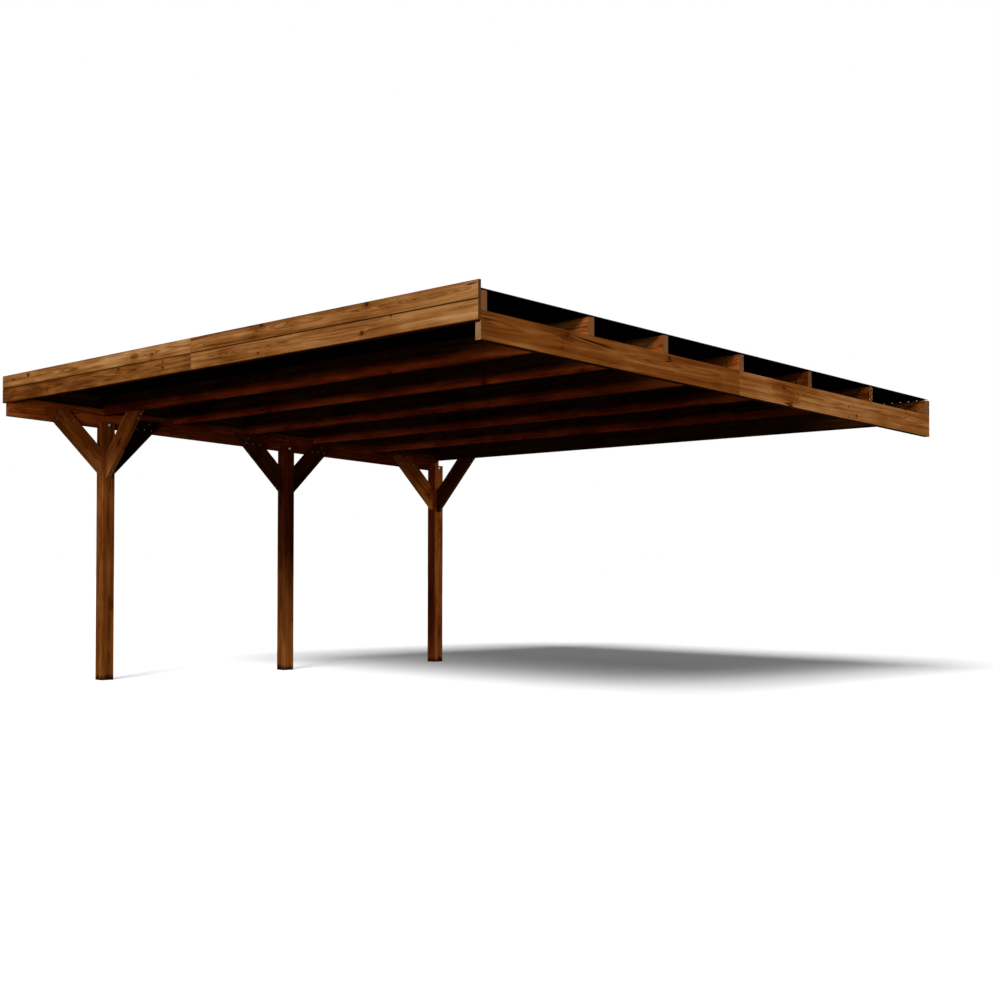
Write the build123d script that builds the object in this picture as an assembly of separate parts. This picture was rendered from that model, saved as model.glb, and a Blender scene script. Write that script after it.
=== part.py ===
from build123d import *
import math
import os

# Lean-to double carport of planed, stained timber, fixed to a wall along one long side.
# X runs along the wall, from the high entry end to the low end of the roof.
# Y runs from the wall to the row of posts. Z is up.
# The origin is the middle of the wall beam's wall-side face. All sizes are in millimetres.

# --- overall sizes ---
ROOF_LENGTH = 5080.0        # along the wall, over the wall beam
WALL_TO_POSTS = 6010.0      # clear depth, from the wall to the posts' near faces
CLEAR_HEIGHT = 2249.0       # ground to the underside of the wall beam, at the beam's middle
ROOF_PITCH = 2.8            # degrees, falling along +X

# --- timber ---
POST_SIZE = 120.0
TIMBER_THICK = 48.0         # purlin, wall beam, rafters and braces share one sawn section
TIMBER_DEEP = 175.0
ARRIS = 3.0                 # bevel on the long edges of the planed timber
LONG_EDGE_SLACK = 1.0       # degrees that an edge may lean and still count as a long edge

# --- posts and purlin ---
NEAR_OVERHANG = 880.0       # purlin beyond the near post
FAR_INSET = 10.0            # far post's face inside the roof's low end
TONGUE_RISE = 50.0          # post's inner half above the purlin's underside
WALL_BEAM_SPLIT = 2500.0    # butt joint in the wall beam, from its near end

# --- rafters ---
NOTCH_DEPTH = 55.0          # rafter's seat over the wall beam and the purlin
CROSS_RAFTER_SHIFT = 20.0   # rafter above the near post, from the post's middle
FIRST_BAY = 730.0           # from that rafter to the next
RAFTER_COUNT = 7
CROSS_RAFTER = 1            # index of the rafter above the near post
SIDE_JOINT_RAFTER = 3       # index of the rafter behind the joint in the side fascia

# --- braces, all at 45 degrees ---
BRACE_DROP = 440.0          # foot of a lengthwise brace, below the purlin's underside
CROSS_BRACE_DROP = 465.0    # foot of a brace that runs towards the wall
BRACE_HEAD_GAP = 5.0        # head of a lengthwise brace, below the rafters
BRACE_NOSE = 25.0           # plumb cut at the head's tip

# --- tongued and grooved fascia ---
BOARD_THICK = 22.0
LOWER_BOARD = 125.0
UPPER_BOARD = 113.0
FASCIA_DROP = 4.0           # fascia's lower edge, below the rafters' undersides
TONGUE_LENGTH = 6.0
TONGUE_THICK = 7.0
TONGUE_GAP = 0.4
VEE = 4.5                   # chamfer on each side of the visible joint
FASCIA_SPLIT = 3100.0       # butt joint in the near and the far fascia, from the wall

# --- corrugated roof sheets ---
SHEET_COUNT = 8
WAVE_PITCH = 76.0
WAVE_DEPTH = 18.0
FLANK_ANGLE = 34.2          # degrees, steepest part of the wave
SHEET_THICK = 2.0
LAP_WAVES = 1
LAP_GAP = 0.3
WALL_EDGE_GAP = 16.0        # sheet's edge to the wall
SHEET_END_GAP = 3.0         # sheet's high end to the near fascia
EAVES_OVERHANG = 8.0        # sheets beyond the far fascia

# --- lines and places worked out from the sizes above ---
SLOPE = math.tan(math.radians(ROOF_PITCH))
OVERCUT = 1.0               # cutting bodies run past the faces they cut through
NEAR_END = -ROOF_LENGTH / 2
FAR_END = ROOF_LENGTH / 2
GROUND = -CLEAR_HEIGHT - TIMBER_DEEP / 2
POST_MIDDLE = POST_SIZE / 2
BRACE_INSET = (POST_SIZE - TIMBER_THICK) / 2
PURLIN_Y = WALL_TO_POSTS + BRACE_INSET + TIMBER_THICK
OUTER_Y = PURLIN_Y + TIMBER_THICK
RAFTER_RISE = TIMBER_DEEP - NOTCH_DEPTH
NEAR_POST = NEAR_END + NEAR_OVERHANG
FAR_POST = FAR_END - FAR_INSET - POST_SIZE
POSTS = {"near": NEAR_POST, "middle": (NEAR_POST + FAR_POST) / 2, "far": FAR_POST}
WALL_SPLIT_X = NEAR_END + WALL_BEAM_SPLIT


def beam_under(x):
    """Height of the underside of the wall beam and of the purlin."""
    return -TIMBER_DEEP / 2 - SLOPE * x


def rafter_under(x):
    """Height of the plane that the rafters' undersides follow."""
    return beam_under(x) + RAFTER_RISE


def roof_plane(x):
    """Height of the plane that carries the sheets."""
    return rafter_under(x) + TIMBER_DEEP


def plate_xz(points, y_low, y_high):
    """Solid whose outline lies in the XZ plane, between two values of Y."""
    outline = make_face(Polyline([(x, y_low, z) for x, z in points], close=True))
    return extrude(outline, amount=y_high - y_low, dir=(0, 1, 0))


def plate_yz(points, x_low, x_high):
    """Solid whose outline lies in the YZ plane, between two values of X."""
    outline = make_face(Polyline([(x_low, y, z) for y, z in points], close=True))
    return extrude(outline, amount=x_high - x_low, dir=(1, 0, 0))


def sloped_bar(x_low, x_high, y_low, y_high, under, height):
    """Bar that follows the roof's fall, with plumb ends; under(x) is its underside."""
    points = [
        (x_low, under(x_low)),
        (x_high, under(x_high)),
        (x_high, under(x_high) + height),
        (x_low, under(x_low) + height),
    ]
    return plate_xz(points, y_low, y_high)


def level_bar(x_low, x_high, y_low, y_high, z_low, z_high):
    """Upright block between two corners."""
    points = [(x_low, z_low), (x_high, z_low), (x_high, z_high), (x_low, z_high)]
    return plate_xz(points, y_low, y_high)


def ease_arrises(bar, direction):
    """Bevel the long edges of a timber that runs along a direction."""
    along = Vector(*direction).normalized()
    straight = [edge for edge in bar.edges() if edge.geom_type == GeomType.LINE]
    nearly_parallel = math.cos(math.radians(ROOF_PITCH + LONG_EDGE_SLACK))
    edges = [edge for edge in straight if abs(edge.tangent_at(0).dot(along)) > nearly_parallel]
    return chamfer(edges, ARRIS)


def cut_over_beams(piece, x_low, x_high):
    """Cut a piece that crosses the wall beam and the purlin so that it seats over both."""
    for y_low, y_high in ((-OVERCUT, TIMBER_THICK), (PURLIN_Y, OUTER_Y + OVERCUT)):
        piece -= sloped_bar(x_low - OVERCUT, x_high + OVERCUT, y_low, y_high, beam_under, TIMBER_DEEP)
    return piece


# --- posts: the purlin sits in a rebate in the outer face, on a seat cut to the roof's fall ---
def make_post(x_low):
    x_high = x_low + POST_SIZE
    top = beam_under(x_low + POST_MIDDLE) + TONGUE_RISE
    post = level_bar(x_low, x_high, WALL_TO_POSTS, WALL_TO_POSTS + POST_SIZE, GROUND, top)
    post = ease_arrises(post, (0, 0, 1))
    return post - sloped_bar(x_low - OVERCUT, x_high + OVERCUT, PURLIN_Y, OUTER_Y, beam_under, TIMBER_DEEP)


# --- purlin and wall beam, each of two lengths butted together ---
def make_purlin(x_low, x_high):
    bar = sloped_bar(x_low, x_high, PURLIN_Y, OUTER_Y, beam_under, TIMBER_DEEP)
    return ease_arrises(bar, (1, 0, 0))


def make_wall_beam(x_low, x_high):
    bar = sloped_bar(x_low, x_high, 0, TIMBER_THICK, beam_under, TIMBER_DEEP)
    return ease_arrises(bar, (1, 0, 0))


# --- rafters: plumb and level, with both ends notched to the sloping top of what carries them ---
def rafter_places():
    cross = NEAR_POST + POST_MIDDLE + CROSS_RAFTER_SHIFT
    last = FAR_END - BOARD_THICK - TIMBER_THICK / 2
    places = [NEAR_END + TIMBER_THICK / 2, cross, cross + FIRST_BAY]
    equal_bays = RAFTER_COUNT - len(places)
    spacing = (last - places[-1]) / equal_bays
    return places + [last - spacing * step for step in reversed(range(equal_bays))]


def make_rafter(middle):
    x_low = middle - TIMBER_THICK / 2
    x_high = middle + TIMBER_THICK / 2
    top = roof_plane(x_high)
    rafter = level_bar(x_low, x_high, 0, OUTER_Y, top - TIMBER_DEEP, top)
    rafter = ease_arrises(rafter, (0, 1, 0))
    return cut_over_beams(rafter, x_low, x_high)


# --- braces ---
BRACE_PLUMB = TIMBER_DEEP * math.sqrt(2)    # height of a brace's plumb cut


def make_long_brace(x_face, way):
    """Brace from a post's side up over the purlin's inner face; way is +1 along the fall."""
    foot = beam_under(x_face) - BRACE_DROP
    head_rise = RAFTER_RISE - BRACE_HEAD_GAP
    fall = 1 + way * SLOPE
    tip = (BRACE_DROP + head_rise - BRACE_NOSE) / fall
    heel = (BRACE_DROP + head_rise - BRACE_PLUMB) / fall

    def head(run):
        return beam_under(x_face + way * run) + head_rise

    points = [
        (x_face, foot),
        (x_face + way * tip, foot + tip),
        (x_face + way * tip, head(tip)),
        (x_face + way * heel, head(heel)),
        (x_face, foot + BRACE_PLUMB),
    ]
    y_low = WALL_TO_POSTS + BRACE_INSET
    return ease_arrises(plate_xz(points, y_low, y_low + TIMBER_THICK), (way, 0, 1))


def make_cross_brace(x_post, rafter_middle):
    """Brace from a post's wall-side face up to the underside of the rafter above it."""
    x_low = x_post + BRACE_INSET
    head = roof_plane(rafter_middle + TIMBER_THICK / 2) - TIMBER_DEEP
    foot = beam_under(x_post + POST_MIDDLE) - CROSS_BRACE_DROP
    points = [
        (WALL_TO_POSTS, foot),
        (WALL_TO_POSTS - (head - foot), head),
        (WALL_TO_POSTS - (head - foot - BRACE_PLUMB), head),
        (WALL_TO_POSTS, foot + BRACE_PLUMB),
    ]
    return ease_arrises(plate_yz(points, x_low, x_low + TIMBER_THICK), (0, -1, 1))


# --- fascia: two rows of tongued and grooved board, with a vee along the joint ---
def lower_profile(height):
    """Board with a tongue on its upper edge: (distance from the back, height) pairs."""
    tongue = (BOARD_THICK - TONGUE_THICK) / 2
    return [
        (0, 0),
        (BOARD_THICK - ARRIS, 0),
        (BOARD_THICK, ARRIS),
        (BOARD_THICK, height - VEE),
        (BOARD_THICK - VEE, height),
        (tongue + TONGUE_THICK, height),
        (tongue + TONGUE_THICK, height + TONGUE_LENGTH),
        (tongue, height + TONGUE_LENGTH),
        (tongue, height),
        (0, height),
    ]


def upper_profile(base, height):
    """Board with a groove in its lower edge."""
    groove_low = (BOARD_THICK - TONGUE_THICK) / 2 - TONGUE_GAP
    groove_high = (BOARD_THICK + TONGUE_THICK) / 2 + TONGUE_GAP
    groove_top = base + TONGUE_LENGTH + TONGUE_GAP
    top = base + height
    return [
        (0, base),
        (groove_low, base),
        (groove_low, groove_top),
        (groove_high, groove_top),
        (groove_high, base),
        (BOARD_THICK - VEE, base),
        (BOARD_THICK, base + VEE),
        (BOARD_THICK, top - ARRIS),
        (BOARD_THICK - ARRIS, top),
        (0, top),
    ]


def end_board(profile, x_back, way, z_base, y_low, y_high):
    """Level board across the roof's near or far end; way points from its back to its front."""
    outline = [(x_back + way * depth, z_base + z) for depth, z in profile]
    return plate_xz(outline, y_low, y_high)


def side_board(profile, x_low, x_high):
    """Board along the posts' side that follows the roof's fall, with plumb ends."""
    base = rafter_under(x_low) - FASCIA_DROP
    outline = make_face(Polyline([(x_low, OUTER_Y + depth, base + z) for depth, z in profile], close=True))
    run = x_high - x_low
    along = Vector(run, 0, -SLOPE * run)
    return extrude(outline, amount=along.length, dir=along.normalized())


# --- roof sheets: a wave of arcs and flanks, swept along the fall ---
HALF_WAVE = WAVE_PITCH / 2
ROOF_WIDTH = OUTER_Y - WALL_EDGE_GAP
HALF_WAVES = int(ROOF_WIDTH // HALF_WAVE)
COVER_HALF_WAVES = 2 * int(HALF_WAVES // (2 * SHEET_COUNT))
SHEET_X = NEAR_END + SHEET_END_GAP
SHEET_LENGTH = (FAR_END + EAVES_OVERHANG - SHEET_X) / math.cos(math.radians(ROOF_PITCH))


def wave_line(first, last, height):
    """Crown arcs joined by straight flanks; crowns point up on even steps and down on odd ones."""
    steep = math.radians(FLANK_ANGLE)
    radius = (HALF_WAVE * math.tan(steep) - WAVE_DEPTH) / (2 / math.cos(steep) - 2)
    reach = radius * math.sin(steep)
    sag = radius * (1 - math.cos(steep))
    line = []
    here = (0, WALL_EDGE_GAP + first * HALF_WAVE, height)
    for step in range(first, last):
        middle = WALL_EDGE_GAP + (step + 0.5) * HALF_WAVE
        way = 1 if step % 2 == 0 else -1
        shoulder = height + way * (WAVE_DEPTH / 2 - sag)
        rise_to = (0, middle - reach, shoulder)
        fall_from = (0, middle + reach, shoulder)
        line.append(Line(here, rise_to))
        line.append(ThreePointArc(rise_to, (0, middle, height + way * WAVE_DEPTH / 2), fall_from))
        here = fall_from
    line.append(Line(here, (0, WALL_EDGE_GAP + last * HALF_WAVE, height)))
    return line


def make_sheet(index):
    """Sheet that laps the next one by a wave; every second sheet lies over its neighbours."""
    first = index * COVER_HALF_WAVES
    last = first + COVER_HALF_WAVES + 2 * LAP_WAVES
    if index == SHEET_COUNT - 1:
        last = HALF_WAVES
    lower = WAVE_DEPTH / 2 + (index % 2) * (SHEET_THICK + LAP_GAP)
    upper = lower + SHEET_THICK
    ends = []
    for step in (first, last):
        y = WALL_EDGE_GAP + step * HALF_WAVE
        ends.append(Line((0, y, lower), (0, y, upper)))
    outline = make_face(Wire(wave_line(first, last, lower) + wave_line(first, last, upper) + ends))
    sheet = extrude(outline, amount=SHEET_LENGTH, dir=(1, 0, 0))
    return Pos(SHEET_X, 0, roof_plane(SHEET_X)) * Rot(0, ROOF_PITCH, 0) * sheet


def build_parts():
    """All pieces, by name."""
    pieces = {}
    places = rafter_places()
    for name, x_low in POSTS.items():
        pieces["post_" + name] = make_post(x_low)
    for name, x_low in POSTS.items():
        pieces["brace_" + name + "_uphill"] = make_long_brace(x_low, -1)
        if name != "far":
            pieces["brace_" + name + "_downhill"] = make_long_brace(x_low + POST_SIZE, 1)
    pieces["cross_brace_near"] = make_cross_brace(POSTS["near"], places[CROSS_RAFTER])
    pieces["cross_brace_far"] = make_cross_brace(POSTS["far"], places[-1])
    purlin_split = POSTS["middle"] + POST_MIDDLE
    pieces["purlin_near"] = make_purlin(NEAR_END, purlin_split)
    pieces["purlin_far"] = make_purlin(purlin_split, FAR_END)
    pieces["wall_beam_near"] = make_wall_beam(NEAR_END, WALL_SPLIT_X)
    pieces["wall_beam_far"] = make_wall_beam(WALL_SPLIT_X, FAR_END)
    for number, middle in enumerate(places, start=1):
        pieces[f"rafter_{number}"] = make_rafter(middle)
    pieces.update(build_fascia(places))
    for index in range(SHEET_COUNT):
        pieces[f"roof_sheet_{index + 1}"] = make_sheet(index)
    return pieces


def build_fascia(places):
    """The boards round three edges of the roof."""
    boards = {}
    far_height = roof_plane(FAR_END) - rafter_under(FAR_END) + FASCIA_DROP
    rows = {"lower": lower_profile(LOWER_BOARD), "upper": upper_profile(LOWER_BOARD, UPPER_BOARD)}
    far_rows = {
        "lower": lower_profile(LOWER_BOARD),
        "upper": upper_profile(LOWER_BOARD, far_height - LOWER_BOARD),
    }
    spans = {"wall": (0, FASCIA_SPLIT), "post": (FASCIA_SPLIT, OUTER_Y + BOARD_THICK)}
    far_spans = {"wall": (0, FASCIA_SPLIT), "post": (FASCIA_SPLIT, OUTER_Y)}
    near_base = rafter_under(NEAR_END) - FASCIA_DROP
    far_base = rafter_under(FAR_END) - FASCIA_DROP
    for row in ("lower", "upper"):
        for half, (y_low, y_high) in spans.items():
            board = end_board(rows[row], NEAR_END, -1, near_base, y_low, y_high)
            boards[f"near_fascia_{row}_{half}"] = board
        for half, (y_low, y_high) in far_spans.items():
            board = end_board(far_rows[row], FAR_END - BOARD_THICK, 1, far_base, y_low, y_high)
            if row == "lower":
                board = cut_over_beams(board, FAR_END - BOARD_THICK, FAR_END)
            boards[f"far_fascia_{row}_{half}"] = board
        boards[f"side_fascia_{row}_near"] = side_board(rows[row], NEAR_END, places[SIDE_JOINT_RAFTER])
        boards[f"side_fascia_{row}_far"] = side_board(rows[row], places[SIDE_JOINT_RAFTER], FAR_END)
    return boards


os.makedirs("parts", exist_ok=True)
for node, solid in build_parts().items():
    export_step(solid, f"parts/{node}.step")
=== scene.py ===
import math
import random

import bpy
import bmesh
from mathutils import Matrix, Vector
from mathutils.bvhtree import BVHTree


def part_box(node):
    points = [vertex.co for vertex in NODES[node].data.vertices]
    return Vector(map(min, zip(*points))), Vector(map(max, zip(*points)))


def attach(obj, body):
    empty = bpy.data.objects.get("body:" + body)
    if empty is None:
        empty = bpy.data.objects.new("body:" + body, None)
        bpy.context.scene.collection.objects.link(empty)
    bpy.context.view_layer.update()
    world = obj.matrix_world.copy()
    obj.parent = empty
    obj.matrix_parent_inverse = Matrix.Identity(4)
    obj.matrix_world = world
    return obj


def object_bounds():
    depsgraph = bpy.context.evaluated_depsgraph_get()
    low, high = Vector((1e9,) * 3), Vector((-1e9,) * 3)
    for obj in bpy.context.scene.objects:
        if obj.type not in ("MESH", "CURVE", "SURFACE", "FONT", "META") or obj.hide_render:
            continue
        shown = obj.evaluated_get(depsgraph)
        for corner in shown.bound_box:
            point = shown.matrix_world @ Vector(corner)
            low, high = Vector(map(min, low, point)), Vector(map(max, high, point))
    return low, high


# Looks of a lean-to carport of brown-stained softwood under black corrugated sheets.
# Everything is in metres, in the frame of the CAD model: X along the wall, Y from the wall
# to the posts, Z up.

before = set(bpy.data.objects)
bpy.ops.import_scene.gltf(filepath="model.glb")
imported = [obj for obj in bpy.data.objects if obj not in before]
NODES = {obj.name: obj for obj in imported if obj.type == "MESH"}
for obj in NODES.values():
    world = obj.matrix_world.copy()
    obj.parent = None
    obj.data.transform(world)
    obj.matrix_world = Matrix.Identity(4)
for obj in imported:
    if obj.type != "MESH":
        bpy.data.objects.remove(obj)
cad_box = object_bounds()
scene = bpy.context.scene
GROUND = cad_box[0].z
X, Y, Z = Vector((1, 0, 0)), Vector((0, 1, 0)), Vector((0, 0, 1))


def named(*starts):
    """The CAD nodes whose names start with one of these words."""
    return [name for name in sorted(NODES) if name.startswith(starts)]


def centre(name):
    low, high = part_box(name)
    return (low + high) / 2


NOWHERE = 99.0            # metres from a board's middle: a mark or a line there doesn't show
RAFTERS = named("rafter_")
SHEETS = named("roof_sheet_")
FIRST, LAST = RAFTERS[0], RAFTERS[-1]
SLOPE = (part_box(FIRST)[1].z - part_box(LAST)[1].z) / (centre(LAST).x - centre(FIRST).x)
FALL = Vector((1, 0, -SLOPE)).normalized()


# --- node trees ---
class Graph:
    """Short calls for building a node tree."""

    def __init__(self, tree):
        self.tree = tree
        self.tree.nodes.clear()

    def node(self, kind, inputs=(), **settings):
        made = self.tree.nodes.new(kind)
        for name, value in settings.items():
            setattr(made, name, value)
        for name, value in dict(inputs).items():
            self.feed(made.inputs[name], value)
        return made

    def feed(self, socket, value):
        if isinstance(value, bpy.types.NodeSocket):
            self.tree.links.new(value, socket)
        else:
            socket.default_value = value

    def operate(self, kind, operation, values, output=0, **settings):
        made = self.node(kind, operation=operation, **settings)
        for socket, value in zip(made.inputs, values):
            self.feed(socket, value)
        return made.outputs[output]

    def math(self, operation, *values):
        return self.operate("ShaderNodeMath", operation, values)

    def add(self, *values):
        total = values[0]
        for value in values[1:]:
            total = self.math("ADD", total, value)
        return total

    def times(self, *values):
        total = values[0]
        for value in values[1:]:
            total = self.math("MULTIPLY", total, value)
        return total

    def most(self, *values):
        top = values[0]
        for value in values[1:]:
            top = self.math("MAXIMUM", top, value)
        return top

    def less(self, first, second):
        return self.math("SUBTRACT", first, second)

    def clamp(self, value):
        return self.operate("ShaderNodeMath", "ADD", (value, 0.0), use_clamp=True)

    def vector(self, operation, *values):
        return self.operate("ShaderNodeVectorMath", operation, values)

    def dot(self, first, second):
        return self.operate("ShaderNodeVectorMath", "DOT_PRODUCT", (first, second), "Value")

    def combine(self, x=0.0, y=0.0, z=0.0):
        return self.node("ShaderNodeCombineXYZ", {"X": x, "Y": y, "Z": z}).outputs[0]

    def split(self, vector):
        return self.node("ShaderNodeSeparateXYZ", {"Vector": vector}).outputs

    def between(self, value, low, high, start=0.0, end=1.0):
        """Smooth step of value, from start at low to end at high."""
        sockets = {"Value": value, "From Min": low, "From Max": high, "To Min": start, "To Max": end}
        return self.node("ShaderNodeMapRange", sockets, interpolation_type="SMOOTHSTEP").outputs[0]

    def noise(self, vector, scale, detail=2.0, roughness=0.5):
        """Noise about 0, from about -0.5 to 0.5."""
        sockets = {"Vector": vector, "Scale": scale, "Detail": detail, "Roughness": roughness}
        return self.less(self.node("ShaderNodeTexNoise", sockets).outputs[0], 0.5)

    def line_noise(self, value, scale, detail=1.0):
        sockets = {"W": value, "Scale": scale, "Detail": detail}
        made = self.node("ShaderNodeTexNoise", sockets, noise_dimensions="1D")
        return self.less(made.outputs[0], 0.5)

    def ramp(self, factor, stops):
        made = self.node("ShaderNodeValToRGB", {"Fac": factor})
        band = made.color_ramp
        while len(band.elements) < len(stops):
            band.elements.new(0.5)
        for element, (place, colour) in zip(band.elements, stops):
            element.position = place
            element.color = (*colour, 1.0)
        return made.outputs[0]

    def mix(self, factor, first, second, blend="MIX"):
        made = self.node("ShaderNodeMix", data_type="RGBA", blend_type=blend)
        self.feed(made.inputs["Factor"], factor)
        for name, value in (("A", first), ("B", second)):
            socket = [s for s in made.inputs if s.name == name and s.type == "RGBA"][0]
            self.feed(socket, value)
        return [s for s in made.outputs if s.type == "RGBA"][0]

    def own(self, name, output="Vector"):
        """A value that each piece carries as a custom property of its object."""
        made = self.node("ShaderNodeAttribute", attribute_type="OBJECT", attribute_name=name)
        return made.outputs[output]

    def shader(self, kind, inputs):
        return self.node(kind, inputs).outputs[0]


def new_group(name, inputs, outputs):
    tree = bpy.data.node_groups.new(name, "ShaderNodeTree")
    for title in inputs:
        tree.interface.new_socket(title, in_out="INPUT", socket_type="NodeSocketFloat")
    for title in outputs:
        tree.interface.new_socket(title, in_out="OUTPUT", socket_type="NodeSocketFloat")
    graph = Graph(tree)
    entry = graph.node("NodeGroupInput") if inputs else None
    return tree, graph, entry


def new_material(name):
    material = bpy.data.materials.new(name)
    material.use_nodes = True
    return material, Graph(material.node_tree)


def finish_material(graph, inputs):
    surface = graph.shader("ShaderNodeBsdfPrincipled", inputs)
    out = graph.node("ShaderNodeOutputMaterial")
    graph.feed(out.inputs["Surface"], surface)


# --- timber: solid wood with growth rings about a pith, branches, streaks and checks ---
def make_knot_group():
    """One branch from the pith: how it lifts the rings, and where it is cut.

    A branch of negative size is grown over, so it bends the grain and isn't cut itself.
    """
    tree, graph, entry = new_group(
        "branch", ["Along", "Across", "Deep", "Angle", "Size"], ["Lift", "Core", "Rim", "Halo"]
    )
    along, across, deep, angle, size = [entry.outputs[i] for i in range(5)]
    turn_c = graph.math("COSINE", angle)
    turn_s = graph.math("SINE", angle)
    reach = graph.add(graph.times(across, turn_c), graph.times(deep, turn_s))
    side = graph.less(graph.times(deep, turn_c), graph.times(across, turn_s))
    ahead = graph.between(reach, 0.0, 0.012)
    side_2 = graph.times(side, side)
    oval = graph.add(graph.math("POWER", graph.times(along, 0.78), 2.0), side_2)
    width = graph.math("ABSOLUTE", size)
    ratio = graph.math("DIVIDE", graph.math("SQRT", oval), width)
    wide = graph.add(graph.math("POWER", graph.times(along, 0.5), 2.0), side_2)
    spread = graph.math("POWER", graph.times(width, 1.8), 2.0)
    fade = graph.math("EXPONENT", graph.times(graph.math("DIVIDE", wide, spread), -1.0))
    lift = graph.times(fade, width, 1.7, ahead)
    open_end = graph.times(ahead, graph.math("GREATER_THAN", size, 0.0))
    core = graph.times(graph.between(ratio, 1.05, 0.8), open_end)
    rim = graph.times(graph.between(ratio, 0.7, 0.95), graph.between(ratio, 1.25, 1.0), open_end)
    halo = graph.times(graph.between(ratio, 2.3, 0.9), open_end)
    out = graph.node("NodeGroupOutput")
    for name, value in (("Lift", lift), ("Core", core), ("Rim", rim), ("Halo", halo)):
        graph.feed(out.inputs[name], value)
    return tree


KNOT_GROUP = make_knot_group()
SPECIAL_KNOTS = ("knot_a", "knot_b", "knot_c")
PLACED_SPLITS = ("split_a", "split_b", "split_c")


def branch(graph, along, across, deep, angle, size):
    made = graph.node("ShaderNodeGroup", node_tree=KNOT_GROUP)
    for socket, value in zip(made.inputs, (along, across, deep, angle, size)):
        graph.feed(socket, value)
    return made.outputs


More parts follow.
